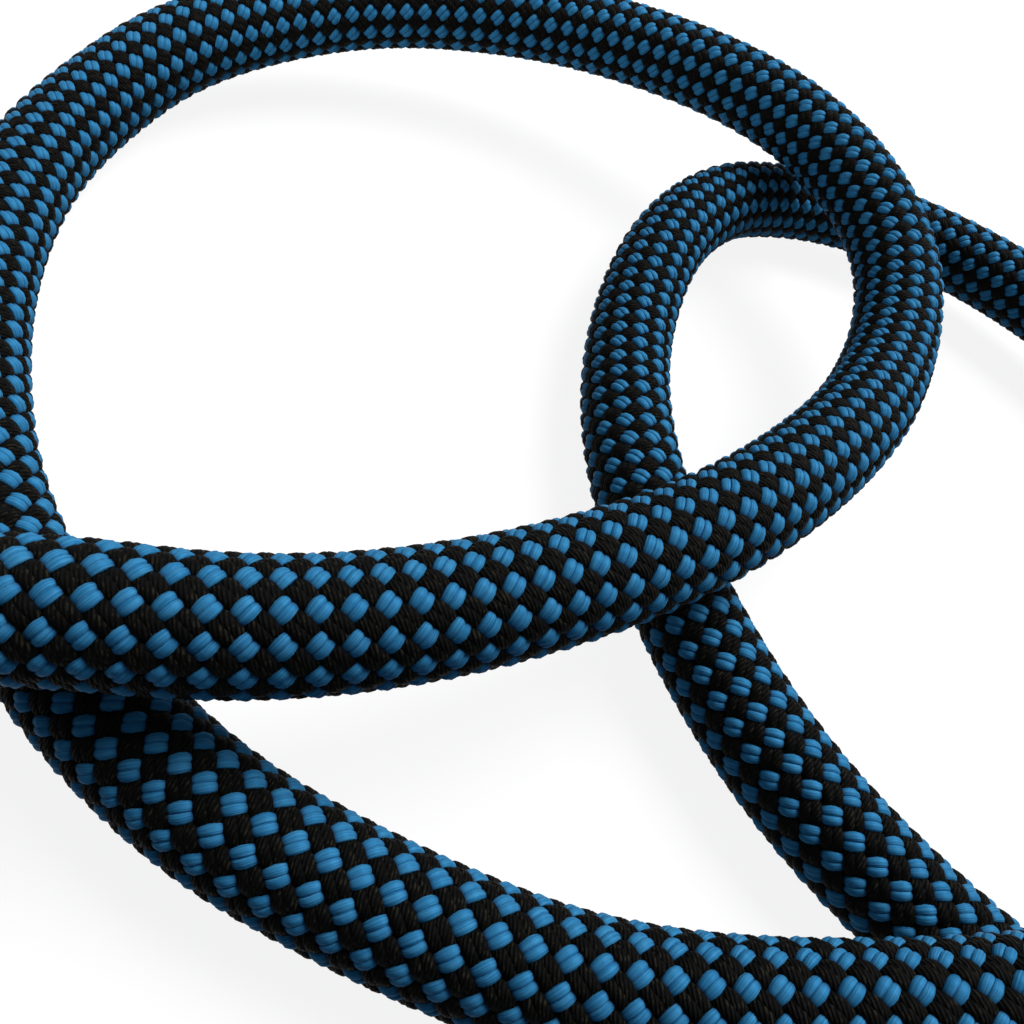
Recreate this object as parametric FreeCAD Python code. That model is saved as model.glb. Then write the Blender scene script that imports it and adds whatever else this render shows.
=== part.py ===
import FreeCAD, Part
import math
import os

# A kernmantle dynamic climbing rope: a braided sheath over twelve core strands, with each end fused, banded and
# sleeved. Part of it lies in loose loops, and the rest is wound into a neat round coil.
# Millimetres, +Z up. The rope lies on the plane z = 0, and the origin is under the middle of its box.

Vector = FreeCAD.Vector

# Rope
ROPE_DIAMETER = 10.0
SHEATH_WALL = 1.1
CORE_CLEARANCE = 0.05
INNER_STRANDS = 3
OUTER_STRANDS = 9

# Coil
COIL_CENTRE_X = 2.6
COIL_CENTRE_Y = -65.5
COIL_OUTER_RADIUS = 91.0
COIL_GAP = 0.45
COIL_LAYERS = 4
TURNS_IN_A_LAYER = 6
COIL_FLAT_DEPTH = 0.5

# Ends
FUSED_TIP_LENGTH = 2.0
FUSED_TIP_ROUND = 0.6
SLEEVE_LENGTH = 13.0
SLEEVE_WALL = 0.35
SLEEVE_LIP = 2.0
SLEEVE_BEFORE_ROUND = 0.2
BAND_THICKNESS = 0.15

# Routes
ARC_SHARE_OF_RUN = 0.45
SAMPLES_IN_A_DIAMETER = 10
DIAMETERS_OF_ONE_PLACE = 3
HALVINGS = 40

# The route of the loose stretch, from its end to the coil.
LOOSE_ROUTE = [
    (85.5, 27.0, 5.6),
    (71.5, 45.5, 5.4),
    (50.0, 55.0, 5.0),
    (31.5, 60.5, 5.0),
    (17.0, 69.0, 5.0),
    (3.0, 83.0, 6.0),
    (-6.0, 103.0, 5.0),
    (-8.0, 123.5, 7.5),
    (-3.5, 138.5, 8.0),
    (4.0, 147.5, 6.5),
    (13.5, 152.5, 6.5),
    (28.5, 154.5, 7.0),
    (48.0, 148.5, 8.0),
    (64.5, 136.5, 8.0),
    (75.5, 113.0, 5.6),
    (73.5, 91.5, 7.0),
    (65.0, 76.0, 11.5),
    (48.5, 60.0, 16.5),
    (33.5, 51.5, 14.5),
    (12.5, 44.5, 7.0),
    (-5.0, 43.5, 5.0),
    (-25.5, 45.0, 5.5),
    (-46.5, 55.0, 7.5),
    (-61.5, 72.5, 6.5),
    (-71.0, 91.5, 5.0),
    (-73.5, 107.5, 5.0),
    (-69.5, 123.5, 8.5),
    (-55.5, 141.5, 11.5),
    (-37.0, 151.5, 13.5),
    (-20.5, 153.5, 15.5),
    (-4.0, 150.5, 17.5),
    (9.0, 144.0, 17.5),
    (19.0, 133.0, 15.5),
    (21.5, 118.5, 13.0),
    (17.0, 99.0, 14.5),
    (3.5, 75.0, 17.0),
    (-18.0, 55.0, 17.5),
    (-41.0, 47.0, 17.0),
    (-56.0, 38.5, 12.5),
    (-70.5, 25.0, 7.5),
    (-80.5, 5.5, 5.2),
    (-86.5, -16.5, 5.1),
    (-88.4, -36.0, 4.5),
]

# The route of the tail, which lies on the coil, from the coil's centre and the middle of its top layer.
TAIL_ROUTE = [
    (-91.0, -22.0, 0.0),
    (-86.0, -40.0, 4.5),
    (-74.5, -54.5, 9.5),
    (-57.5, -65.0, 10.85),
    (-36.0, -71.5, 10.85),
    (-12.5, -72.0, 10.85),
    (11.5, -69.0, 10.85),
    (35.0, -64.0, 10.85),
]

ROPE_RADIUS = ROPE_DIAMETER / 2
BORE_RADIUS = ROPE_RADIUS - SHEATH_WALL
COIL_FLOOR_Z = ROPE_RADIUS - COIL_FLAT_DEPTH
COIL_STEP = ROPE_DIAMETER + COIL_GAP
SLEEVE_PAST_ROPE = FUSED_TIP_LENGTH - FUSED_TIP_ROUND - SLEEVE_BEFORE_ROUND


class Line:
    """A straight run of the route."""

    def __init__(self, start, end):
        self.start = start
        self.end = end
        self.length = (end - start).Length
        self.first_direction = (end - start).normalize()
        self.last_direction = self.first_direction

    def turned(self, offset):
        return offset

    def beside(self, offset):
        return Line(self.start + offset, self.end + offset)

    def point(self, share):
        return self.start + (self.end - self.start) * share

    def edge(self):
        return Part.LineSegment(self.start, self.end).toShape()


class Arc:
    """An arc of the route, which turns its start about an axis through its centre."""

    def __init__(self, centre, axis, start, angle):
        self.centre = centre
        self.axis = axis
        self.start = start
        self.angle = angle
        self.radius = (start - centre).Length
        self.length = self.radius * angle
        self.end = self.point(1.0)
        self.first_direction = axis.cross(start - centre).normalize()
        self.last_direction = axis.cross(self.end - centre).normalize()

    def turned(self, offset):
        return FreeCAD.Rotation(self.axis, math.degrees(self.angle)).multVec(offset)

    def beside(self, offset):
        along_axis = self.axis * offset.dot(self.axis)
        return Arc(self.centre + along_axis, self.axis, self.start + offset, self.angle)

    def point(self, share):
        turn = FreeCAD.Rotation(self.axis, math.degrees(self.angle * share))
        return self.centre + turn.multVec(self.start - self.centre)

    def edge(self):
        return Part.Arc(self.start, self.point(0.5), self.end).toShape()


def arc_from(start, direction, end):
    """The arc that leaves start in direction and comes to end."""
    chord = end - start
    axis = direction.cross(chord).normalize()
    inward = axis.cross(direction)
    radius = chord.Length**2 / (2 * chord.dot(inward))
    angle = 2 * math.asin(min(1.0, chord.Length / (2 * radius)))
    return Arc(start + inward * radius, axis, start, angle)


def biarc(start, first, end, last):
    """Two arcs from start to end that leave in the direction first, arrive in last and meet in line."""
    across = end - start
    along = across.dot(first + last)
    spread = 2 * (1 - first.dot(last))
    reach = (math.sqrt(along**2 + spread * across.dot(across)) - along) / spread
    middle = (start + end + (first - last) * reach) * 0.5
    opening = arc_from(start, first, middle)
    return [opening, arc_from(middle, opening.last_direction, end)]


def rounded(points):
    """Straight runs through the points, joined by arcs as large as the two runs at each point allow."""
    pieces = []
    radii = []
    here = points[0]
    for before, corner, after in zip(points, points[1:], points[2:]):
        arriving = corner - before
        leaving = after - corner
        turn = arriving.getAngle(leaving)
        trim = ARC_SHARE_OF_RUN * min(arriving.Length, leaving.Length)
        arriving.normalize()
        leaving.normalize()
        start = corner - arriving * trim
        pieces.append(Line(here, start))
        pieces.append(arc_from(start, arriving, corner + leaving * trim))
        radii.append(trim / math.tan(turn / 2))
        here = pieces[-1].end
    pieces.append(Line(here, points[-1]))
    return pieces, radii


def coil_place(turns, radius, height):
    """A point of the coil and the level direction of winding there, after a number of turns from its start."""
    angle = math.pi + 2 * math.pi * turns
    outward = Vector(math.cos(angle), math.sin(angle), 0)
    centre = Vector(COIL_CENTRE_X, COIL_CENTRE_Y, height)
    return centre + outward * radius, Vector(-outward.y, outward.x, 0)


def coil_radius(turns):
    """The spiral goes in and out again at a steady rate, and turns back once in each layer."""
    share = turns % (2 * TURNS_IN_A_LAYER)
    depth = min(share, 2 * TURNS_IN_A_LAYER - share)
    return COIL_OUTER_RADIUS - COIL_STEP * depth


def layer_height(layer):
    return COIL_FLOOR_Z + COIL_STEP * layer


def coil_node(turns):
    """A point and direction in one flat layer."""
    layer = int(turns // TURNS_IN_A_LAYER)
    return coil_place(turns, coil_radius(turns), layer_height(layer))


def climb_node(layer):
    """The middle of the half turn that climbs from a layer to the next."""
    turns = TURNS_IN_A_LAYER * (layer + 1)
    radius = coil_radius(turns)
    place, level = coil_place(turns, radius, layer_height(layer) + COIL_STEP / 2)
    slope = 2 * COIL_STEP / (math.pi * radius)
    return place, (level + Vector(0, 0, slope)).normalize()


def coil_nodes():
    """The nodes of the coil's biarcs: half turns in the layers, and two quarter turns in each climb."""
    nodes = [coil_node(0.0)]
    for layer in range(COIL_LAYERS):
        first = TURNS_IN_A_LAYER * layer + 0.25
        for half in range(int(round(2 * TURNS_IN_A_LAYER))):
            nodes.append(coil_node(first + half / 2))
        if layer < COIL_LAYERS - 1:
            nodes.append(climb_node(layer))
    nodes.append(coil_place(TURNS_IN_A_LAYER * COIL_LAYERS, COIL_OUTER_RADIUS, layer_height(COIL_LAYERS - 1)))
    return nodes


def coil_pieces():
    """The coil's line: straight for one diameter, the turns, and straight again."""
    nodes = coil_nodes()
    first_place, first_way = nodes[0]
    last_place, last_way = nodes[-1]
    pieces = [Line(first_place - first_way * ROPE_DIAMETER, first_place)]
    for (start, first), (end, last) in zip(nodes, nodes[1:]):
        pieces += biarc(start, first, end, last)
    pieces.append(Line(last_place, last_place + last_way * ROPE_DIAMETER))
    return pieces


def length_of(pieces):
    return sum(piece.length for piece in pieces)


def beside(pieces, offset):
    """The line that runs beside another, held at an offset which turns with it and never twists round it."""
    line = []
    for piece in pieces:
        line.append(piece.beside(offset))
        offset = piece.turned(offset)
    return line


def across_start(pieces, angle, distance):
    """An offset square to the line's start, at an angle round it."""
    along = pieces[0].first_direction
    side = along.cross(Vector(0, 0, 1)).normalize()
    over = side.cross(along)
    return (side * math.cos(angle) + over * math.sin(angle)) * distance


def ring(place, direction, radius):
    return Part.Wire(Part.Circle(place, direction, radius).toShape())


def swept(pieces, radius, solid):
    """A round tube of one radius along a line."""
    path = Part.Wire([piece.edge() for piece in pieces])
    profile = ring(pieces[0].start, pieces[0].first_direction, radius)
    return path.makePipeShell([profile], solid, False)


def hollow_tube(pieces):
    """The sheath along a line, with the bore that the core fills."""
    return swept(pieces, ROPE_RADIUS, True).cut(swept(pieces, BORE_RADIUS, True))


def pressed_flat(solid, farthest_y):
    """The solid without what lies under the floor, up to a place along Y past which it lies on the floor."""
    box = solid.BoundBox
    margin = ROPE_DIAMETER
    depth = margin - box.ZMin
    first_y = box.YMin - margin
    below = Part.makeBox(box.XLength + 2 * margin, farthest_y - first_y, depth)
    below.translate(Vector(box.XMin - margin, first_y, -depth))
    return solid.cut(below)


def strand_gap(radius):
    """The clear space between an inner and an outer strand of one radius, both packed as far apart as they go."""
    inner = inner_ring_radius(radius)
    outer = outer_ring_radius(radius)
    angle = math.pi / OUTER_STRANDS
    apart = math.sqrt(inner**2 + outer**2 - 2 * inner * outer * math.cos(angle))
    beside_it = 2 * outer * math.sin(angle)
    return min(apart, beside_it) - 2 * radius


def inner_ring_radius(radius):
    return (radius + CORE_CLEARANCE / 2) / math.sin(math.pi / INNER_STRANDS)


def outer_ring_radius(radius):
    return BORE_RADIUS - CORE_CLEARANCE - radius


def strand_radius():
    """The largest strand that packs into the bore with the core clearance all round."""
    small = 0.0
    large = BORE_RADIUS / 2
    for _ in range(HALVINGS):
        middle = (small + large) / 2
        if strand_gap(middle) > CORE_CLEARANCE:
            small = middle
        else:
            large = middle
    return small


def core_places():
    """The angle and distance from the rope's line of each core strand."""
    radius = strand_radius()
    inner = [
        (2 * math.pi * k / INNER_STRANDS, inner_ring_radius(radius))
        for k in range(INNER_STRANDS)
    ]
    outer = [
        (2 * math.pi * (k + 0.5) / OUTER_STRANDS, outer_ring_radius(radius))
        for k in range(OUTER_STRANDS)
    ]
    return inner + outer


def turned_profile(profile, place, direction):
    """A closed outline of (radius, height) pairs, turned about the rope's end and laid along its direction."""
    points = [Vector(r, 0, h) for r, h in profile]
    face = Part.Face(Part.makePolygon(points + points[:1]))
    solid = face.revolve(Vector(0, 0, 0), Vector(0, 0, 1), 360)
    solid = solid if solid.ShapeType == "Solid" else Part.Solid(solid)
    solid.Placement = FreeCAD.Placement(place, FreeCAD.Rotation(Vector(0, 0, 1), direction))
    return solid


def fused_tip(place, direction):
    """Sheath and core melted together: a disc that closes the rope's end, with a rounded edge."""
    tip = Part.makeCylinder(ROPE_RADIUS, FUSED_TIP_LENGTH)
    rim = [e for e in tip.Edges if e.BoundBox.ZMin > FUSED_TIP_LENGTH / 2 and e.Curve.TypeId == "Part::GeomCircle"]
    tip = tip.makeFillet(FUSED_TIP_ROUND, rim)
    tip.Placement = FreeCAD.Placement(place, FreeCAD.Rotation(Vector(0, 0, 1), direction))
    return tip


def marking_band(place, direction):
    """A blank band round the sheath, between the sleeve's lips."""
    low = SLEEVE_LIP - SLEEVE_LENGTH + SLEEVE_PAST_ROPE
    high = SLEEVE_PAST_ROPE - SLEEVE_LIP
    outside = ROPE_RADIUS + BAND_THICKNESS
    profile = [(ROPE_RADIUS, low), (outside, low), (outside, high), (ROPE_RADIUS, high)]
    return turned_profile(profile, place, direction)


def end_sleeve(place, direction):
    """A shrunk sleeve, which grips the sheath at its lips and stands over the band between them."""
    low = SLEEVE_PAST_ROPE - SLEEVE_LENGTH
    high = SLEEVE_PAST_ROPE
    over_band = ROPE_RADIUS + BAND_THICKNESS
    inner_low = low + SLEEVE_LIP
    inner_high = high - SLEEVE_LIP
    profile = [
        (ROPE_RADIUS, low),
        (ROPE_RADIUS + SLEEVE_WALL, low),
        (over_band + SLEEVE_WALL, inner_low - SLEEVE_WALL),
        (over_band + SLEEVE_WALL, inner_high + SLEEVE_WALL),
        (ROPE_RADIUS + SLEEVE_WALL, high),
        (ROPE_RADIUS, high),
        (ROPE_RADIUS, inner_high),
        (over_band, inner_high),
        (over_band, inner_low),
        (ROPE_RADIUS, inner_low),
    ]
    return turned_profile(profile, place, direction)


def sampled(pieces):
    """Points along a line, a tenth of a diameter apart, each with its distance from the start."""
    points = []
    done = 0.0
    for piece in pieces:
        count = max(1, int(math.ceil(piece.length * SAMPLES_IN_A_DIAMETER / ROPE_DIAMETER)))
        for k in range(count):
            points.append((piece.point(k / count), done + piece.length * k / count))
        done += piece.length
    return points


def least_gap(pieces):
    """The least clear space between the rope and another stretch of itself, measured on points."""
    size = 1.5 * ROPE_DIAMETER
    cells = {}
    points = sampled(pieces)
    for point, done in points:
        key = (int(point.x // size), int(point.y // size), int(point.z // size))
        cells.setdefault(key, []).append((point, done))
    least = math.inf
    for (i, j, k), members in cells.items():
        near = [
            entry
            for a in (i - 1, i, i + 1)
            for b in (j - 1, j, j + 1)
            for c in (k - 1, k, k + 1)
            for entry in cells.get((a, b, c), ())
        ]
        for point, done in members:
            for other, other_done in near:
                if other_done - done > DIAMETERS_OF_ONE_PLACE * ROPE_DIAMETER:
                    least = min(least, (other - point).Length)
    return least - ROPE_DIAMETER


def save(name, shape):
    if not shape.isValid():
        print("not valid:", name)
    shape.exportStep(f"parts/{name}.step")


def report_tube(name, solid, pieces, area):
    share = solid.Volume / (area * length_of(pieces))
    print(f"{name}: length {length_of(pieces):.1f}, volume over section times length {share:.4f}")


def main():
    os.makedirs("parts", exist_ok=True)
    coil = coil_pieces()
    loose_points = [Vector(*p) for p in LOOSE_ROUTE] + [coil[0].start]
    coil_top = Vector(COIL_CENTRE_X, COIL_CENTRE_Y, layer_height(COIL_LAYERS - 1))
    tail_points = [coil[-1].end] + [coil_top + Vector(*p) for p in TAIL_ROUTE]
    loose, loose_radii = rounded(loose_points)
    tail, tail_radii = rounded(tail_points)
    whole = loose + coil + tail
    print("radii of the loose stretch:", [round(r, 1) for r in loose_radii])
    print("radii of the tail:", [round(r, 1) for r in tail_radii])
    print(f"rope length: {length_of(whole):.1f}, least gap to itself: {least_gap(whole):.2f}")

    wall_area = math.pi * (ROPE_RADIUS**2 - BORE_RADIUS**2)
    tubes = {}
    for name, pieces in (("sheath_loose", loose), ("sheath_coil", coil), ("sheath_tail", tail)):
        tubes[name] = hollow_tube(pieces)
        report_tube(name, tubes[name], pieces, wall_area)
    save("sheath_loose", pressed_flat(tubes["sheath_loose"], loose_points[-3].y))
    save("sheath_coil", pressed_flat(tubes["sheath_coil"], COIL_CENTRE_Y + COIL_OUTER_RADIUS + ROPE_DIAMETER))
    save("sheath_tail", tubes["sheath_tail"])

    radius = strand_radius()
    print(f"core strand diameter: {2 * radius:.3f}")
    for number, (angle, distance) in enumerate(core_places(), 1):
        line = beside(whole, across_start(whole, angle, distance))
        strand = swept(line, radius, True)
        report_tube(f"core_strand_{number:02d}", strand, line, math.pi * radius**2)
        save(f"core_strand_{number:02d}", strand)

    for name, place, way in (
        ("loose_end", whole[0].start, whole[0].first_direction * -1),
        ("coil_end", whole[-1].end, whole[-1].last_direction),
    ):
        save(f"{name}_fused_tip", fused_tip(place, way))
        save(f"{name}_marking_band", marking_band(place, way))
        save(f"{name}_sleeve", end_sleeve(place, way))


main()
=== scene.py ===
import math

import bpy
import numpy as np
from mathutils import Matrix, Vector


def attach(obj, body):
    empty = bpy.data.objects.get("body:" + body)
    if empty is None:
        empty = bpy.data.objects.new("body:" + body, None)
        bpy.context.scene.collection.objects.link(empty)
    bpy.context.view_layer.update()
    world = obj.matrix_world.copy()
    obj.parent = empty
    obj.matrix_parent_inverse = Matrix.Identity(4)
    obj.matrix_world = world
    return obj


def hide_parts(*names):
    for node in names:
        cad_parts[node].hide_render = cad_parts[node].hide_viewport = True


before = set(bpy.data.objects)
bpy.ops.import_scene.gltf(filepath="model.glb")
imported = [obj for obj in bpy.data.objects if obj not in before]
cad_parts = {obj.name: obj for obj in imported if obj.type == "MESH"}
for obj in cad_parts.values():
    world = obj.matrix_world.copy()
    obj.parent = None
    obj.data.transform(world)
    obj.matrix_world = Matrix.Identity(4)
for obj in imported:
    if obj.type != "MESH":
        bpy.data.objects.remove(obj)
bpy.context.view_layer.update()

# The rope, in metres
ROPE_DIAMETER = 0.010

# The core, as (how many strands, how far their middles are from the rope's line) for each ring of them
CORE_RINGS = [(3, 0.00111), (9, 0.00291)]
CORE_STRAND_RADIUS = 0.00091
CORE_STRAND_SIDES = 6
CORE_RING_STEP = 0.008
CORE_MAP_ROWS = 60

# The loose stretch, from its end to the coil
LOOSE_ROUTE = [
    (0.0855, 0.0270, 0.0056),
    (0.0715, 0.0455, 0.0054),
    (0.0500, 0.0550, 0.0050),
    (0.0315, 0.0605, 0.0050),
    (0.0170, 0.0690, 0.0050),
    (0.0030, 0.0830, 0.0060),
    (-0.0060, 0.1030, 0.0050),
    (-0.0080, 0.1235, 0.0075),
    (-0.0035, 0.1385, 0.0080),
    (0.0040, 0.1475, 0.0065),
    (0.0135, 0.1525, 0.0065),
    (0.0285, 0.1545, 0.0070),
    (0.0480, 0.1485, 0.0080),
    (0.0645, 0.1365, 0.0080),
    (0.0755, 0.1130, 0.0056),
    (0.0735, 0.0915, 0.0070),
    (0.0650, 0.0760, 0.0115),
    (0.0485, 0.0600, 0.0165),
    (0.0335, 0.0515, 0.0145),
    (0.0125, 0.0445, 0.0070),
    (-0.0050, 0.0435, 0.0050),
    (-0.0255, 0.0450, 0.0055),
    (-0.0465, 0.0550, 0.0075),
    (-0.0615, 0.0725, 0.0065),
    (-0.0710, 0.0915, 0.0050),
    (-0.0735, 0.1075, 0.0050),
    (-0.0695, 0.1235, 0.0085),
    (-0.0555, 0.1415, 0.0115),
    (-0.0370, 0.1515, 0.0135),
    (-0.0205, 0.1535, 0.0155),
    (-0.0040, 0.1505, 0.0175),
    (0.0090, 0.1440, 0.0175),
    (0.0190, 0.1330, 0.0155),
    (0.0215, 0.1185, 0.0130),
    (0.0170, 0.0990, 0.0145),
    (0.0035, 0.0750, 0.0170),
    (-0.0180, 0.0550, 0.0175),
    (-0.0410, 0.0470, 0.0170),
    (-0.0560, 0.0385, 0.0125),
    (-0.0705, 0.0250, 0.0075),
    (-0.0805, 0.0055, 0.0052),
    (-0.0865, -0.0165, 0.0051),
    (-0.0884, -0.0360, 0.0045),
]

# The tail, which lies on the coil, from the coil's centre and the middle of its top layer
TAIL_ROUTE = [
    (-0.0910, -0.0220, 0.0000),
    (-0.0860, -0.0400, 0.0045),
    (-0.0745, -0.0545, 0.0095),
    (-0.0575, -0.0650, 0.01085),
    (-0.0360, -0.0715, 0.01085),
    (-0.0125, -0.0720, 0.01085),
    (0.0115, -0.0690, 0.01085),
    (0.0350, -0.0640, 0.01085),
]

# The coil
COIL_CENTRE = (0.0026, -0.0655)
COIL_RADIUS = 0.091
COIL_STEP = 0.01045
COIL_FLOOR_Z = 0.0045
COIL_LAYERS = 4
TURNS_IN_A_LAYER = 6
POINTS_IN_A_TURN = 16
LINE_RESOLUTION = 16

# The braid: strands of two yarns each, as many one way round as the other, over one and under one
STRANDS_EACH_WAY = 12
YARNS_IN_A_STRAND = 2
AXIAL_PITCH = 0.0023
BLUE_WAY = -1
BLACK_WAY = 1
YARN_THICKNESS = 0.00050
SAMPLES_IN_A_CROSSING = 4

# For each way: a yarn's width, how close a strand's two lie, how much wider they are on top,
# how far they wave, and how far the strand's outer edges are pressed down
YARNS = {
    BLUE_WAY: {"width": 0.00069, "spacing": 0.88, "swell": 0.20, "wave": 0.00035, "press": 0.00014},
    BLACK_WAY: {"width": 0.00099, "spacing": 0.74, "swell": 0.03, "wave": 0.00031, "press": 0.00010},
}
PIECES_EACH_WAY = 6
YARN_MAP_ROWS = 46

# A yarn's cross-section, in shares of its width and of its thickness
YARN_PROFILE = [
    (0.5, 0.0),
    (0.42, 0.33),
    (0.15, 0.5),
    (-0.15, 0.5),
    (-0.42, 0.33),
    (-0.5, 0.0),
    (-0.25, -0.4),
    (0.25, -0.4),
]

# Where bending has made the braid of the loose stretch creep and turn, until it is even at the coil:
# (how far along, how far it has crept, how many degrees it has turned)
BRAID_CREEP = [
    (0.070, -0.00437, 1.2),
    (0.080, -0.00403, 5.0),
    (0.088, -0.00370, 6.2),
    (0.104, -0.00345, 5.0),
    (0.120, -0.00335, 0.0),
    (0.136, -0.00480, -5.0),
    (0.148, -0.00470, -7.2),
    (0.168, -0.00380, -2.5),
    (0.200, -0.00322, 3.8),
    (0.216, -0.00290, 8.0),
    (0.330, -0.00305, 8.0),
    (0.352, -0.00426, 6.2),
    (0.360, -0.00426, 5.0),
    (0.368, -0.00368, 3.8),
    (0.384, -0.00184, -1.2),
    (0.400, -0.00050, -1.2),
    (0.416, -0.00160, -3.8),
    (0.464, -0.00196, -3.8),
    (0.504, -0.00242, -3.8),
    (0.512, -0.00295, -3.8),
    (0.520, -0.00265, -3.8),
    (0.536, -0.00104, -3.8),
    (0.552, 0.00050, -7.5),
    (0.568, 0.00015, -13.0),
    (0.584, 0.00069, -12.5),
    (0.600, 0.00055, -11.2),
    (0.616, 0.00080, -5.0),
    (0.640, 0.00030, 0.0),
    (0.664, 0.00080, 1.2),
    (0.672, 0.00185, 1.2),
    (0.680, 0.00219, 1.2),
    (0.688, 0.00208, 1.2),
    (0.704, 0.00104, 2.5),
    (0.720, 0.00058, 3.8),
    (0.828, 0.00058, 3.8),
    (0.846, 0.00000, 0.0),
]

# The sheath beyond the loose stretch, where each strand's crossing is one raised cell
SHEATH_OUTSIDE = 0.00497
CELL_DEPTH = 0.00028
COIL_PIECES = 3
COIL_MAP_ROWS = 24

# Painted shade: a near-black tube just under the yarns, which shows as shade in the gaps between them
SHADE_TUBE_RADIUS = 0.00405
SHADE_TUBE_SIDES = 20
SHADE_TUBE_RING_STEP = 0.004
SHADE_TUBE_MAP_ROWS = 20
END_INSET = 0.0002
ROW_FILL = 0.9

# The photograph's camera. Its reach is from the nearest to the farthest that it sees.
PICTURE_SIDE = 1024
FOCAL_PIXELS = 900
SENSOR_MM = 36
CAMERA_REACH = (0.002, 20)
CAMERA_PLACE = (-0.0105, 0.0290, 0.0735)
CAMERA_PITCH = math.radians(37)
CAMERA_ROLL = math.radians(24.5)

WHITE = (1.0, 1.0, 1.0)

# The yarns' colours, where painted shade turns a blue one navy as it dives and fades as it rises, a painted
# highlight in brown lies on the black one's ply backs, and how metallic its satin is
BLUE = (0.019, 0.155, 0.340)
PALE_BLUE = (0.050, 0.245, 0.460)
DIVE_SHADE_NAVY = (0.010, 0.015, 0.054)
EDGE_OF_BLUE = (0.05, 0.25, 0.5)
BLACK = (0.0026, 0.0028, 0.0025)
PLY_HIGHLIGHT_BROWN = (0.021, 0.019, 0.014)
# Painted shade on the blue: from where to where it fades, by a yarn's crown and by a cell's rise
YARN_DIVE_SHADE = (0.5, 0.95)
CELL_DIP_SHADE = (0.2, 0.6)
SATIN = 0.10

# How fine the yarns' filaments, plies and fuzz are: in a metre along the rope, and in a yarn's width
FILAMENTS_ALONG = 300.0
FILAMENTS_ACROSS = 9.0
PLIES_ALONG = 10000.0
PLIES_ACROSS = -10.0
FUZZ_ALONG = 3000.0
FUZZ_ACROSS = 2.0

# The same in a cell of the coil's braid, and how far apart the noise of neighbouring cells is
CELL_FILAMENTS_ALONG = 1.5
CELL_FILAMENTS_ACROSS = 18.0
CELL_NUMBERS_APART = 7.0

# A cell's shape: how far its two yarns' middles are from its own, in strands, how much of its height
# is their round backs, and the power that flattens its crown
YARN_MIDDLE = 0.25
YARN_BACK = 0.6
CROWN_POWER = 0.5

# From where to where the filaments turn pale, the painted highlight covers the plies' backs and the yarns'
# tops, and fuzz and the tips' swirls show
PALE_FILAMENTS = (0.35, 0.7)
PLY_BACK_HIGHLIGHT = (0.4, 1.0)
YARN_TOP_HIGHLIGHT = (0.0, 0.8)
FUZZ_SHOWS = (0.35, 0.7)
TIP_SWIRLS = (0.4, 0.65)

# Roughness, as (noise from, noise to, roughness from, roughness to)
BLUE_ROUGHNESS = (0.3, 0.7, 0.46, 0.58)
BLACK_ROUGHNESS = (0.3, 0.7, 0.55, 0.75)
TIP_ROUGHNESS = (0.2, 0.8, 0.18, 0.4)
SLEEVE_ROUGHNESS = (0.2, 0.8, 0.08, 0.25)
BAND_ROUGHNESS = (0.2, 0.8, 0.4, 0.55)
CELL_ROUGHNESS = (0.44, 0.65)

# How deep the fine relief is, in metres
FILAMENT_RELIEF = 0.00005
PLY_RELIEF = 0.00006
CELL_RELIEF = 0.0003
CORE_RELIEF = 0.0001
TIP_RELIEF = 0.00025

# The other finishes: the two colours that their grain mixes, how many grains a metre has, and their detail
GRAINS = {
    # sheath_lining is painted shade: near-black, for the gaps between the yarns
    "sheath_lining": ((0.004, 0.005, 0.009), (0.012, 0.014, 0.022), 900.0, 2.0),
    "white_core_cord": ((0.72, 0.72, 0.68), (0.9, 0.9, 0.87), 1500.0, 3.0),
    "melted_nylon": ((0.008, 0.008, 0.010), (0.015, 0.07, 0.16), 700.0, 3.0),
    "clear_sleeve": ((0.76, 0.81, 0.84), (0.84, 0.88, 0.9), 500.0, 2.0),
    "blank_band": ((0.8, 0.8, 0.76), (0.88, 0.88, 0.85), 1200.0, 4.0),
    "pale_floor": ((0.15, 0.15, 0.15), (0.17, 0.17, 0.17), 40.0, 2.0),
}

# Light and floor. From the middle outwards, the floor's glow rises to full white.
LOOPS_MIDDLE = (0.0, 0.1, 0.0)
KEY_PLACE = (0.65, 1.12, 1.58)
KEY_SIZE = 1.2
KEY_POWER = 51
FILL_PLACE = (-0.5, -1.3, 0.22)
FILL_SIZE = 0.4
FILL_POWER = 9
WORLD_COLOUR = (0.9, 0.95, 1.0)
WORLD_STRENGTH = 0.13
FLOOR_REACH = 4.0
FLOOR_GLOW = 0.88
FLOOR_GLOW_RISES = (0.4, 2.4)

# The braid's measures that follow from the ones above
STRAND_ANGLE = 2 * math.pi / STRANDS_EACH_WAY
BRAID_MIDDLE = SHEATH_OUTSIDE - YARNS[BLUE_WAY]["wave"] - YARN_THICKNESS / 2
BRAID_SLOPE = STRAND_ANGLE / AXIAL_PITCH


def add_camera():
    """The camera, at its place on the floor plan, tipped from straight down and rolled."""
    data = bpy.data.cameras.new("camera")
    data.sensor_width = SENSOR_MM
    data.lens = SENSOR_MM * FOCAL_PIXELS / PICTURE_SIDE
    data.clip_start, data.clip_end = CAMERA_REACH
    camera = bpy.data.objects.new("camera", data)
    turn = Matrix.Rotation(CAMERA_PITCH, 4, "X") @ Matrix.Rotation(CAMERA_ROLL, 4, "Z")
    camera.matrix_world = Matrix.Translation(CAMERA_PLACE) @ turn
    bpy.context.scene.collection.objects.link(camera)
    bpy.context.scene.camera = camera


def coil_radius(turns):
    """The spiral goes in and out again at a steady rate, and turns back once in each layer."""
    share = turns % (2 * TURNS_IN_A_LAYER)
    return COIL_RADIUS - COIL_STEP * min(share, 2 * TURNS_IN_A_LAYER - share)


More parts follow.
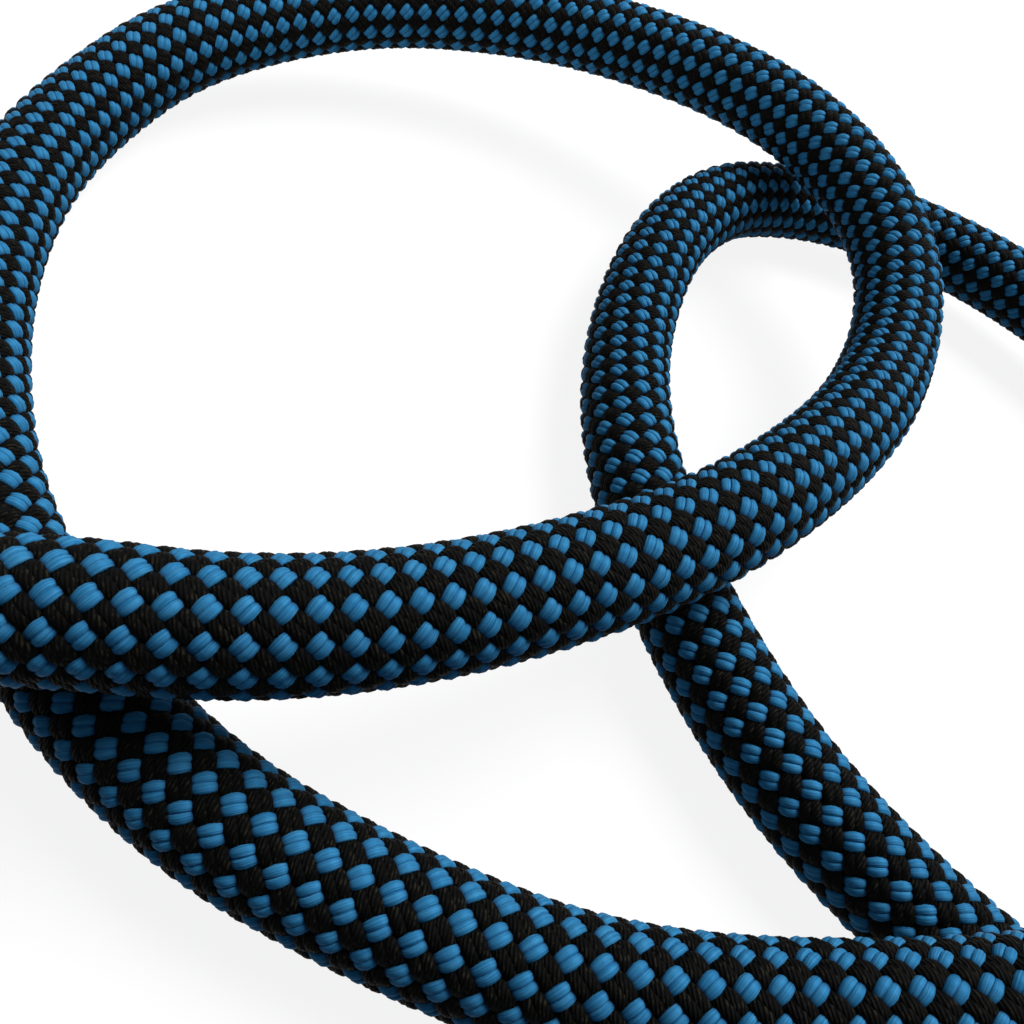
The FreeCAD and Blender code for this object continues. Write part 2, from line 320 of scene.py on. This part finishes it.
def coil_height(turns):
    """Flat layers, with a smooth climb in the half turn where the spiral turns back."""
    layer = min(COIL_LAYERS - 1, max(0, round(turns / TURNS_IN_A_LAYER) - 1))
    share = min(1.0, max(0.0, 2 * (turns - TURNS_IN_A_LAYER * (layer + 1)) + 0.5))
    climb = 2 * share**2 if share < 0.5 else 1 - 2 * (1 - share) ** 2
    if layer == COIL_LAYERS - 1:
        climb = 0.0
    return COIL_FLOOR_Z + COIL_STEP * (layer + climb)


def coil_points():
    """Control points round the outside of the turns, so that the line touches each turn's own radius."""
    points = []
    outwards = 1 / math.cos(math.pi / POINTS_IN_A_TURN)
    for k in range(COIL_LAYERS * TURNS_IN_A_LAYER * POINTS_IN_A_TURN):
        turns = (k + 0.5) / POINTS_IN_A_TURN
        angle = math.pi + 2 * math.pi * turns
        radius = coil_radius(turns) * outwards
        x = COIL_CENTRE[0] + radius * math.cos(angle)
        y = COIL_CENTRE[1] + radius * math.sin(angle)
        points.append((x, y, coil_height(turns)))
    return points


def route_points():
    """The whole rope's control points, from its loose end to the end that lies on the coil."""
    x = COIL_CENTRE[0] - COIL_RADIUS
    y = COIL_CENTRE[1]
    top = COIL_FLOOR_Z + COIL_STEP * (COIL_LAYERS - 1)
    into_coil = (x, y + ROPE_DIAMETER, COIL_FLOOR_Z)
    out_of_coil = (x, y - ROPE_DIAMETER, top)
    tail = [(COIL_CENTRE[0] + a, COIL_CENTRE[1] + b, top + c) for a, b, c in TAIL_ROUTE]
    return LOOSE_ROUTE + [into_coil] + coil_points() + [out_of_coil] + tail, into_coil


def spline_line(points):
    """Points along the smooth line that the control points guide."""
    data = bpy.data.curves.new("rope_line", "CURVE")
    data.dimensions = "3D"
    spline = data.splines.new("NURBS")
    spline.points.add(len(points) - 1)
    for place, point in zip(points, spline.points):
        point.co = (*place, 1)
    spline.order_u = 3
    spline.use_endpoint_u = True
    spline.resolution_u = LINE_RESOLUTION
    holder = bpy.data.objects.new("rope_line", data)
    mesh = bpy.data.meshes.new_from_object(holder)
    line = np.empty(3 * len(mesh.vertices))
    mesh.vertices.foreach_get("co", line)
    bpy.data.objects.remove(holder)
    bpy.data.curves.remove(data)
    bpy.data.meshes.remove(mesh)
    return line.reshape(-1, 3)


def unit(rows):
    return rows / np.linalg.norm(rows, axis=1, keepdims=True)


class RopeLine:
    """The rope's centreline with a side direction that never twists round it."""

    def __init__(self, line):
        self.line = line
        steps = np.linalg.norm(np.diff(line, axis=0), axis=1)
        self.along = np.concatenate([[0.0], np.cumsum(steps)])
        self.length = self.along[-1]
        self.tangent = unit(np.gradient(line, self.along, axis=0))
        side = np.cross(self.tangent[0], (0.0, 0.0, 1.0))
        sides = [side / np.linalg.norm(side)]
        for tangent in self.tangent[1:]:
            moved = sides[-1] - tangent * np.dot(sides[-1], tangent)
            sides.append(moved / np.linalg.norm(moved))
        self.side = np.array(sides)

    def frame(self, along):
        """Places on the line with their side and over directions."""
        place, tangent, side = (
            np.stack([np.interp(along, self.along, values[:, k]) for k in range(3)], axis=-1)
            for values in (self.line, self.tangent, self.side)
        )
        tangent = unit(tangent)
        side = unit(side - tangent * np.sum(side * tangent, axis=1, keepdims=True))
        return place, side, np.cross(tangent, side)

    def nearest(self, place):
        """How far along the line the place is."""
        return self.along[np.argmin(np.linalg.norm(self.line - np.array(place), axis=1))]

    def around(self, along, angle, radius):
        """Places round the line, and the outward direction there."""
        place, side, over = self.frame(along)
        outward = side * np.cos(angle)[:, None] + over * np.sin(angle)[:, None]
        return place + outward * np.reshape(radius, (-1, 1)), outward

    def rings(self, along, angle, distance, radius, sides):
        """The rings of a tube that runs beside the line. The radius is one for all, or one a point."""
        place, side, over = self.frame(along)
        centre = place + (side * math.cos(angle) + over * math.sin(angle)) * distance
        turns = 2 * math.pi * np.arange(sides) / sides
        outward = side[:, None] * np.cos(turns)[None, :, None]
        outward = outward + over[:, None] * np.sin(turns)[None, :, None]
        radius = np.broadcast_to(radius, (len(along), sides))
        return above_floor(centre[:, None] + outward * radius[:, :, None])


def above_floor(places):
    """Where the rope is pressed flat, it stays on the floor."""
    places[..., 2] = np.maximum(places[..., 2], 0.0)
    return places


def grid_corners(rings, sides):
    """The ring and side numbers of the corners of a tube's quads. The last side's run past the end."""
    ring = np.repeat(np.arange(rings - 1), sides)
    side = np.tile(np.arange(sides), rings - 1)
    ring_corners = np.stack([ring, ring, ring + 1, ring + 1], axis=-1)
    side_corners = np.stack([side, side + 1, side + 1, side], axis=-1)
    return ring_corners, side_corners


def strip_map(step, side, steps, sides, rows):
    """A map that cuts a long tube into rows, from each corner's numbers of rings and of sides."""
    row_length = -(-steps // rows)
    row = np.minimum(step[:, :1] // row_length, rows - 1)
    u = (step - row * row_length) / row_length
    v = (row + side / sides * ROW_FILL) / rows
    return np.stack([u, v], axis=-1).reshape(-1, 2)


def smooth_mesh(name, places, faces, maps):
    """A smooth mesh. Each map has a pair of values for every corner, and end caps get none."""
    corners = np.concatenate([np.asarray(group).ravel() for group in faces])
    sizes = np.concatenate([np.full(len(group), len(group[0])) for group in faces])
    mesh = bpy.data.meshes.new(name)
    mesh.vertices.add(len(places))
    mesh.vertices.foreach_set("co", places.astype(np.float32).ravel())
    mesh.loops.add(len(corners))
    mesh.loops.foreach_set("vertex_index", corners.astype(np.int32))
    mesh.polygons.add(len(sizes))
    first_corners = np.concatenate([[0], np.cumsum(sizes)[:-1]])
    mesh.polygons.foreach_set("loop_start", first_corners.astype(np.int32))
    mesh.polygons.foreach_set("use_smooth", np.ones(len(sizes), dtype=bool))
    for map_name, values in maps.items():
        padded = np.zeros((len(corners), 2), dtype=np.float32)
        padded[: len(values)] = values
        mesh.uv_layers.new(name=map_name).data.foreach_set("uv", padded.ravel())
    mesh.update(calc_edges=True)
    mesh.validate()
    return mesh


def tubes_mesh(name, tubes, rows):
    """One mesh of several closed tubes. Each is an array of rings of points."""
    sides = tubes[0].shape[1]
    steps = sum(len(tube) - 1 for tube in tubes)
    quads = []
    caps = []
    maps = []
    first_point = 0
    first_step = 0
    for tube in tubes:
        rings = len(tube)
        ring, side = grid_corners(rings, sides)
        quads.append(first_point + ring * sides + side % sides)
        maps.append(strip_map(first_step + ring, side, steps, sides, rows))
        caps.append(np.arange(first_point, first_point + sides)[::-1])
        first_point += rings * sides
        first_step += rings - 1
        caps.append(np.arange(first_point - sides, first_point))
    places = np.concatenate([tube.reshape(-1, 3) for tube in tubes])
    faces = [np.concatenate(quads), np.stack(caps)]
    return smooth_mesh(name, places, faces, {"OFBake": np.concatenate(maps)})


def add_piece(mesh, material):
    piece = bpy.data.objects.new(mesh.name, mesh)
    mesh.materials.append(material)
    bpy.context.scene.collection.objects.link(piece)
    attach(piece, "root")
    return piece


def set_point_values(mesh, name, values):
    attribute = mesh.attributes.new(name, "FLOAT", "POINT")
    attribute.data.foreach_set("value", np.asarray(values, dtype=np.float32).ravel())


def yarn_wave(along, strand, yarn, way):
    """A strand's angle round the rope, its yarn's angle beside it, and how high that rides, from -1 to 1."""
    lean = math.atan(BRAID_SLOPE * BRAID_MIDDLE)
    make = YARNS[way]
    between = make["spacing"] * make["width"] / (BRAID_MIDDLE * math.cos(lean))
    aside = (yarn - (YARNS_IN_A_STRAND - 1) / 2) * between
    places, crept, turned = np.array(BRAID_CREEP).T
    wound = way * BRAID_SLOPE * (along - np.interp(along, places, crept))
    angle = strand * STRAND_ANGLE + wound
    crossing = (angle + aside + wound) / STRAND_ANGLE
    angle = angle + np.radians(np.interp(along, places, turned))
    lift = np.cos(math.pi * (crossing + strand)) * (1 if way == BLUE_WAY else -1)
    return angle, aside, lift


def yarn_section(yarn, make):
    """A yarn's cross-section, pressed down towards the outer edges of its strand."""
    beside, height = np.array(YARN_PROFILE).T
    reach = (beside + (yarn - 0.5) * make["spacing"]) / (0.5 + 0.5 * make["spacing"])
    return beside, height * YARN_THICKNESS - make["press"] * reach**2


def yarn_rings(line, start, end, strand, yarn, way):
    """One yarn's rings, with how far along the rope each is and how high it rides, from -1 to 1."""
    along = np.arange(start, end, AXIAL_PITCH / 2 / SAMPLES_IN_A_CROSSING)
    angle, aside, lift = yarn_wave(along, strand, yarn, way)
    make = YARNS[way]
    swell = 1 + make["swell"] * lift
    width = make["width"] * swell
    centre, outward = line.around(along, angle + aside * swell, BRAID_MIDDLE + make["wave"] * lift)
    forward = unit(np.gradient(centre, axis=0))
    across = unit(np.cross(forward, outward))
    up = np.cross(across, forward)
    beside, height = yarn_section(yarn, make)
    rings = centre[:, None, :] + across[:, None, :] * (beside[None, :, None] * width[:, None, None])
    return above_floor(rings + up[:, None, :] * height[None, :, None]), along, lift


def add_yarns(line, start, end, colour, way, material):
    """The strands that wind one way round the loose stretch, in a few pieces."""
    pieces = []
    sides = len(YARN_PROFILE)
    strands_in_a_piece = STRANDS_EACH_WAY // PIECES_EACH_WAY
    for number in range(PIECES_EACH_WAY):
        first = number * strands_in_a_piece
        strands = range(first, first + strands_in_a_piece)
        yarns = [(strand, yarn) for strand in strands for yarn in range(YARNS_IN_A_STRAND)]
        made = [yarn_rings(line, start, end, strand, yarn, way) for strand, yarn in yarns]
        rings, alongs, lifts = zip(*made)
        mesh = tubes_mesh(f"sheath_{colour}_yarns_{number + 1}", rings, YARN_MAP_ROWS)
        ring_counts = [len(tube) for tube in rings]
        numbers = [strand * YARNS_IN_A_STRAND + yarn for strand, yarn in yarns]
        set_point_values(mesh, "along", np.repeat(np.concatenate(alongs), sides))
        set_point_values(mesh, "lift", np.repeat(np.concatenate(lifts), sides))
        set_point_values(mesh, "yarn", np.repeat(np.repeat(numbers, ring_counts), sides))
        set_point_values(mesh, "across", np.tile([x for x, _ in YARN_PROFILE], sum(ring_counts)))
        pieces.append(add_piece(mesh, material))
    return pieces


def cell_corners(rings, sides, first):
    """The ring and side numbers of the corners of the cells' triangles, two in each quad."""
    ring, side = grid_corners(rings, sides)
    first_is_high = ((ring[:, 0] + first + side[:, 0]) % 2 == 0)[:, None, None]
    pick = np.where(first_is_high, [[1, 3, 0], [1, 2, 3]], [[0, 1, 2], [0, 2, 3]])
    picked = [np.take_along_axis(numbers[:, None, :], pick, axis=2) for numbers in (ring, side)]
    return [numbers.reshape(-1, 3) for numbers in picked]


def coil_braid_mesh(name, line, first, last):
    """The braided tube from one ring to another. Its braid map counts crossings and strands."""
    sides = 2 * STRANDS_EACH_WAY
    steps = np.arange(first, last + 1)
    high = (steps[:, None] + np.arange(sides)[None, :]) % 2 == 0
    radius = SHEATH_OUTSIDE - np.where(high, 0.0, CELL_DEPTH)
    rings = line.rings(steps * AXIAL_PITCH / 2, 0.0, 0.0, radius, sides)
    ring, side = cell_corners(len(rings), sides, first)
    caps = [np.arange(sides)[::-1], (last - first) * sides + np.arange(sides)]
    maps = {
        "OFBake": strip_map(ring, side, last - first, sides, COIL_MAP_ROWS),
        "braid": np.stack([(ring + first) / 2, side / 2], axis=-1).reshape(-1, 2),
    }
    return smooth_mesh(name, rings.reshape(-1, 3), [ring * sides + side % sides, caps], maps)


def add_braided_coil(line, start, end, material):
    """The sheath of the coil and the tail: a tube with a raised cell for each crossing, in a few pieces."""
    step = AXIAL_PITCH / 2
    cuts = np.linspace(math.floor(start / step), math.floor(end / step), COIL_PIECES + 1).astype(int)
    pieces = []
    for number, (first, last) in enumerate(zip(cuts, cuts[1:])):
        mesh = coil_braid_mesh(f"sheath_coil_braid_{number + 1}", line, first, last)
        pieces.append(add_piece(mesh, material))
    return pieces


def ring_places(line, step):
    """Places for rings from end to end of the rope, a step apart."""
    end = line.length - END_INSET
    return np.append(np.arange(END_INSET, end, step), end)


def add_shade_tube(line, material):
    """Painted shade under the yarns: one near-black tube from end to end."""
    along = ring_places(line, SHADE_TUBE_RING_STEP)
    rings = line.rings(along, 0.0, 0.0, SHADE_TUBE_RADIUS, SHADE_TUBE_SIDES)
    return add_piece(tubes_mesh("sheath_lining", [rings], SHADE_TUBE_MAP_ROWS), material)


def add_core(line, material):
    """The core strands, which run beside the rope's line and don't twist round it."""
    along = ring_places(line, CORE_RING_STEP)
    tubes = []
    for ring_number, (count, distance) in enumerate(CORE_RINGS):
        for k in range(count):
            angle = 2 * math.pi * (k + ring_number / 2) / count
            tubes.append(line.rings(along, angle, distance, CORE_STRAND_RADIUS, CORE_STRAND_SIDES))
    return add_piece(tubes_mesh("core_strands", tubes, CORE_MAP_ROWS), material)


class Look:
    """A material's or the world's nodes, with a short call for each kind that they use."""

    def __init__(self, owner, shader="Principled BSDF"):
        self.owner = owner
        owner.use_nodes = True
        self.tree = owner.node_tree
        self.shader = self.tree.nodes[shader]

    def set(self, node, name, value):
        """Gives an input a plain value, or links it to another node's output."""
        if isinstance(value, bpy.types.NodeSocket):
            self.tree.links.new(value, node.inputs[name])
        elif isinstance(value, tuple) and len(value) == 3 and node.inputs[name].type == "RGBA":
            node.inputs[name].default_value = (*value, 1)
        else:
            node.inputs[name].default_value = value

    def node(self, kind, inputs, **settings):
        node = self.tree.nodes.new(kind)
        for name, value in settings.items():
            setattr(node, name, value)
        for name, value in inputs.items():
            self.set(node, name, value)
        return node

    def surface(self, **inputs):
        """Sets the shader's inputs, whose names are written with _ for a space."""
        for name, value in inputs.items():
            self.set(self.shader, name.replace("_", " "), value)

    def attribute(self, name):
        return self.node("ShaderNodeAttribute", {}, attribute_name=name).outputs["Fac"]

    def maths(self, operation, *values):
        return self.node("ShaderNodeMath", dict(enumerate(values)), operation=operation).outputs[0]

    def times(self, first, second):
        return self.maths("MULTIPLY", first, second)

    def object_place(self):
        """Where each point is, in metres."""
        return self.node("ShaderNodeTexCoord", {}).outputs["Object"]

    def vector(self, x, y, z=0.0):
        return self.node("ShaderNodeCombineXYZ", {0: x, 1: y, 2: z}).outputs[0]

    def noise(self, place, detail=2.0, scale=1.0):
        inputs = {"Vector": place, "Scale": scale, "Detail": detail}
        return self.node("ShaderNodeTexNoise", inputs).outputs[0]

    def between(self, value, low, high, least=0.0, most=1.0):
        """From least to most as the value goes from low to high, smoothly."""
        inputs = {"Value": value, "From Min": low, "From Max": high, "To Min": least, "To Max": most}
        return self.node("ShaderNodeMapRange", inputs, interpolation_type="SMOOTHSTEP").outputs[0]

    def mix(self, share, first, second):
        """A colour between two."""
        return self.node("ShaderNodeMix", {0: share, 6: first, 7: second}, data_type="RGBA").outputs[2]

    def mix_value(self, share, first, second):
        return self.node("ShaderNodeMix", {0: share, 2: first, 3: second}, data_type="FLOAT").outputs[0]

    def in_view(self):
        """1 for rays that show a surface in the camera, in gloss or through clear parts, 0 for others."""
        rays = self.node("ShaderNodeLightPath", {}).outputs
        seen = self.maths("MAXIMUM", rays["Is Camera Ray"], rays["Is Glossy Ray"])
        return self.maths("MAXIMUM", seen, rays["Is Transmission Ray"])

    def bump(self, height, distance):
        """Sets the surface's relief, whose full height is the distance."""
        bump = self.node("ShaderNodeBump", {"Height": height, "Distance": distance})
        self.surface(Normal=bump.outputs[0])


def material_look(name):
    return Look(bpy.data.materials.new(name))


def grained_look(name):
    """A new material's look, its grain and its two colours."""
    first, second, scale, detail = GRAINS[name]
    look = material_look(name)
    return look, look.noise(look.object_place(), detail, scale), first, second


def blue_colour(look, top, filaments):
    """Satin nylon, with painted shade in navy where the yarn dives, and paler along some filaments."""
    colour = look.mix(look.between(filaments, *PALE_FILAMENTS), BLUE, PALE_BLUE)
    # The navy is painted shade, which covers the yarn where top is low
    return look.mix(top, DIVE_SHADE_NAVY, colour)


def black_colour(look, crown, plies):
    """Black, with a painted highlight in brown on the backs of the plies, where the yarn rides high."""
    lit = look.times(look.between(plies, *PLY_BACK_HIGHLIGHT), look.between(crown, *YARN_TOP_HIGHLIGHT))
    return look.mix(lit, BLACK, PLY_HIGHLIGHT_BROWN)


def yarn_look(name):
    """A yarn's look, with where each point is along the rope, across the yarn, and between its dips."""
    look = material_look(name)
    along = look.attribute("along")
    across = look.attribute("across")
    crown = look.between(look.attribute("lift"), -1.0, 1.0)
    return look, along, across, crown


def blue_yarn_material():
    look, along, across, crown = yarn_look("blue_nylon_yarn")
    place = look.vector(
        look.times(along, FILAMENTS_ALONG),
        look.times(across, FILAMENTS_ACROSS),
        look.attribute("yarn"),
    )
    filaments = look.noise(place, detail=3.0)
    # The base colour has painted shade in navy where the yarn dives under its neighbours
    look.surface(
        Base_Color=blue_colour(look, look.between(crown, *YARN_DIVE_SHADE), filaments),
        Roughness=look.between(filaments, *BLUE_ROUGHNESS),
        Metallic=SATIN,
        Specular_IOR_Level=0.05,
        Specular_Tint=EDGE_OF_BLUE,
        Anisotropic=0.7,
        Anisotropic_Rotation=0.25,
    )
    tangent = look.node("ShaderNodeTangent", {}, direction_type="UV_MAP", uv_map="OFBake")
    look.surface(Tangent=tangent.outputs[0])
    look.bump(filaments, FILAMENT_RELIEF)
    return look.owner


def plies_of(look, along, across):
    """From 0 in the grooves to 1 on the backs of the plies that a yarn is twisted from."""
    turns = look.maths("ADD", look.times(along, PLIES_ALONG), look.times(across, PLIES_ACROSS))
    return look.maths("ABSOLUTE", look.maths("SINE", turns))


def black_yarn_material():
    look, along, across, crown = yarn_look("black_nylon_yarn")
    plies = plies_of(look, along, across)
    place = look.vector(
        look.times(along, FUZZ_ALONG),
        look.times(across, FUZZ_ACROSS),
        look.attribute("yarn"),
    )
    fuzz = look.noise(place, detail=2.0)
    # The base colour has a painted highlight in brown on the ply backs at the yarn's tops
    look.surface(
        Base_Color=black_colour(look, crown, look.times(plies, look.between(fuzz, *FUZZ_SHOWS))),
        Roughness=look.between(fuzz, *BLACK_ROUGHNESS),
        Specular_IOR_Level=0.03,
    )
    look.bump(plies, PLY_RELIEF)
    return look.owner


def braid_crossings(look):
    """Each cell's number, 1 where its top strand is black, and the place across and along that strand."""
    uv = look.node("ShaderNodeUVMap", {}, uv_map="braid").outputs[0]
    parts = look.node("ShaderNodeSeparateXYZ", {0: uv})
    along, around = parts.outputs[0], parts.outputs[1]
    offs = []
    numbers = []
    for way in (BLUE_WAY, BLACK_WAY):
        strand = look.maths("SUBTRACT", around, look.times(along, way))
        number = look.maths("ROUND", strand)
        numbers.append(number)
        offs.append(look.maths("SUBTRACT", strand, number))
    blue_off, black_off = offs
    shows_black = look.maths("PINGPONG", look.maths("ADD", *numbers), 1.0)
    across = look.mix_value(shows_black, blue_off, black_off)
    lengthwise = look.mix_value(shows_black, black_off, blue_off)
    cell = look.maths("MULTIPLY_ADD", numbers[0], CELL_NUMBERS_APART, numbers[1])
    return cell, shows_black, across, lengthwise


def cell_rise(look, across, lengthwise):
    """How high a cell's two yarns rise, from 0 to 1."""
    crown = look.maths("COSINE", look.times(lengthwise, math.pi))
    off_middle = look.maths("SUBTRACT", look.maths("ABSOLUTE", across), YARN_MIDDLE)
    in_yarn = look.times(off_middle, 1 / YARN_MIDDLE)
    back = look.maths("SUBTRACT", 1.0, look.times(in_yarn, in_yarn))
    rounded = look.maths("MULTIPLY_ADD", back, YARN_BACK, 1 - YARN_BACK)
    return look.times(look.maths("POWER", crown, CROWN_POWER), rounded)


def braid_material():
    """The braid as its cells show it, each a crossing with two yarns on top."""
    look = material_look("braided_sheath")
    cell, shows_black, across, lengthwise = braid_crossings(look)
    place = look.vector(
        look.times(lengthwise, CELL_FILAMENTS_ALONG),
        look.times(across, CELL_FILAMENTS_ACROSS),
        cell,
    )
    filaments = look.noise(place, detail=3.0)
    rise = cell_rise(look, across, lengthwise)
    # Painted shade: the cell's blue turns navy in its dips and grooves
    blue = blue_colour(look, look.between(rise, *CELL_DIP_SHADE), filaments)
    # Painted highlight: brown on the black cells' crowns
    black = black_colour(look, rise, filaments)
    look.surface(
        Base_Color=look.mix(shows_black, blue, black),
        Roughness=look.mix_value(shows_black, *CELL_ROUGHNESS),
        Metallic=look.mix_value(shows_black, SATIN, 0.0),
        Specular_IOR_Level=0.04,
        Specular_Tint=EDGE_OF_BLUE,
    )
    look.bump(rise, CELL_RELIEF)
    return look.owner


def shade_tube_material():
    # Painted shade: near-black, seen only in the gaps between the yarns
    look, grain, first, second = grained_look("sheath_lining")
    look.surface(Base_Color=look.mix(grain, first, second), Roughness=0.85)
    return look.owner


def core_material():
    look, fibres, first, second = grained_look("white_core_cord")
    look.surface(Base_Color=look.mix(fibres, first, second), Roughness=0.7, Sheen_Weight=0.1)
    look.bump(fibres, CORE_RELIEF)
    return look.owner


def fused_tip_material():
    look, swirls, first, second = grained_look("melted_nylon")
    look.surface(
        Base_Color=look.mix(look.between(swirls, *TIP_SWIRLS), first, second),
        Roughness=look.between(swirls, *TIP_ROUGHNESS),
    )
    look.bump(swirls, TIP_RELIEF)
    return look.owner


def sleeve_material():
    look, haze, first, second = grained_look("clear_sleeve")
    look.surface(
        Base_Color=look.mix(haze, first, second),
        Roughness=look.between(haze, *SLEEVE_ROUGHNESS),
        Alpha=0.4,
    )
    return look.owner


def band_material():
    look, specks, first, second = grained_look("blank_band")
    look.surface(
        Base_Color=look.mix(specks, first, second),
        Roughness=look.between(specks, *BAND_ROUGHNESS),
    )
    return look.owner


def dress(node, material):
    """Gives a CAD node, which stays as it is, its finish."""
    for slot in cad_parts[node].material_slots:
        slot.material = material


def add_area(name, place, target, size, power):
    data = bpy.data.lights.new(name, "AREA")
    data.size = size
    data.energy = power
    lamp = bpy.data.objects.new(name, data)
    lamp.location = place
    lamp.rotation_euler = (Vector(target) - Vector(place)).to_track_quat("-Z", "Y").to_euler()
    bpy.context.scene.collection.objects.link(lamp)


def floor_material():
    """A pale floor that the camera sees as white where no shadow falls."""
    look, grain, first, second = grained_look("pale_floor")
    place = look.object_place()
    far = look.node("ShaderNodeVectorMath", {0: place}, operation="LENGTH").outputs["Value"]
    glow = look.between(far, *FLOOR_GLOW_RISES, FLOOR_GLOW, 1.0)
    look.surface(
        Base_Color=look.mix(grain, first, second),
        Roughness=0.9,
        Specular_IOR_Level=0.1,
        Emission_Color=WHITE,
        Emission_Strength=look.times(look.in_view(), glow),
    )
    return look.owner


def add_floor():
    mesh = bpy.data.meshes.new("floor")
    corners = [(x * FLOOR_REACH, y * FLOOR_REACH, 0) for x, y in ((-1, -1), (1, -1), (1, 1), (-1, 1))]
    mesh.from_pydata(corners, [], [(0, 1, 2, 3)])
    mesh.materials.append(floor_material())
    floor = bpy.data.objects.new("floor", mesh)
    bpy.context.scene.collection.objects.link(floor)


def dress_ends():
    """The tips, bands and sleeves keep their CAD shapes and get their finish. Returns their names."""
    finishes = {
        "fused_tip": fused_tip_material(),
        "marking_band": band_material(),
        "sleeve": sleeve_material(),
    }
    ends = []
    for what, material in finishes.items():
        for end in ("loose_end", "coil_end"):
            dress(f"{end}_{what}", material)
            ends.append(f"{end}_{what}")
    return ends


def add_rope():
    """The whole rope: its sheath with a tube of painted shade under it, its core and its two dressed ends.
    """
    points, into_coil = route_points()
    line = RopeLine(spline_line(points))
    seam = line.nearest(into_coil)
    shade_tube = add_shade_tube(line, shade_tube_material())
    core = add_core(line, core_material())
    blue = add_yarns(line, END_INSET, seam, "blue", BLUE_WAY, blue_yarn_material())
    black = add_yarns(line, END_INSET, seam, "black", BLACK_WAY, black_yarn_material())
    coil = add_braided_coil(line, seam, line.length - END_INSET, braid_material())
    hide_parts("sheath_loose", "sheath_coil", "sheath_tail")
    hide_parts(*[f"core_strand_{k + 1:02d}" for k in range(sum(count for count, _ in CORE_RINGS))])
    ends = dress_ends()


def add_world():
    """White where it is seen, and dim as a light."""
    look = Look(bpy.data.worlds.new("world"), "Background")
    seen = look.in_view()
    look.surface(
        Color=look.mix(seen, WORLD_COLOUR, WHITE),
        Strength=look.mix_value(seen, WORLD_STRENGTH, 1.0),
    )
    bpy.context.scene.world = look.owner


add_camera()
add_rope()
add_floor()
add_area("key", KEY_PLACE, LOOPS_MIDDLE, KEY_SIZE, KEY_POWER)
add_area("low_fill", FILL_PLACE, (*COIL_CENTRE, COIL_FLOOR_Z), FILL_SIZE, FILL_POWER)
add_world()
bpy.context.scene.view_settings.view_transform = "Standard"
